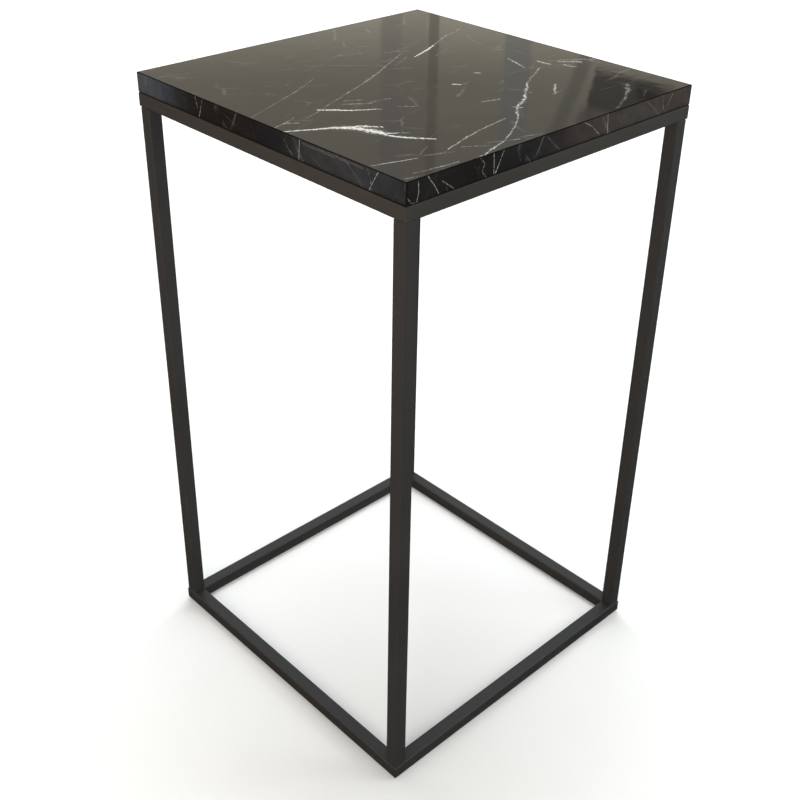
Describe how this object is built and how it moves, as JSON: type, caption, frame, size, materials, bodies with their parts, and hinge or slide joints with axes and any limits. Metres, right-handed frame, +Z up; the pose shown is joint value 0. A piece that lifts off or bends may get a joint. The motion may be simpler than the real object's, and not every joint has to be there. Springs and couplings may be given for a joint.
{
  "type": "square side table",
  "caption": "Tall square side table with a marble-look gloss laminate board on an open box frame of black square steel tube.",
  "frame": {"origin": "on the floor, under the middle of the table", "axes": "+Z up; the front faces -Y and the right side faces +X; the four sides are alike"},
  "size_m": [0.39, 0.39, 0.69],
  "materials": {
    "marble_face": "high-gloss laminate printed as black marble with thin white veins",
    "edge_band": "high-gloss black edge band with faint pale veins",
    "chipboard": "raw chipboard, hidden inside the board",
    "backer": "matt black melamine backer",
    "powder_coat": "satin black powder coat on welded steel tube",
    "zinc": "bright zinc-plated screw",
    "pad_rubber": "matt black rubber pad"
  },
  "bodies": {
    "root": {"top_face_sheet": "marble_face", "board_core": "chipboard", "bottom_backer_sheet": "backer", "edge_band_front": "edge_band", "edge_band_right": "edge_band", "edge_band_back": "edge_band", "edge_band_left": "edge_band", "top_frame_rail_front": "powder_coat", "top_frame_rail_right": "powder_coat", "top_frame_rail_back": "powder_coat", "top_frame_rail_left": "powder_coat", "leg_front_left": "powder_coat", "leg_front_right": "powder_coat", "leg_back_right": "powder_coat", "leg_back_left": "powder_coat", "base_frame_rail_front": "powder_coat", "base_frame_rail_right": "powder_coat", "base_frame_rail_back": "powder_coat", "base_frame_rail_left": "powder_coat", "corner_plate_front_left": "powder_coat", "corner_plate_front_right": "powder_coat", "corner_plate_back_right": "powder_coat", "corner_plate_back_left": "powder_coat", "board_screw_front_left": "zinc", "board_screw_front_right": "zinc", "board_screw_back_right": "zinc", "board_screw_back_left": "zinc", "floor_pad_front_left": "pad_rubber", "floor_pad_front_right": "pad_rubber", "floor_pad_back_right": "pad_rubber", "floor_pad_back_left": "pad_rubber"}
  },
  "joints": []
}
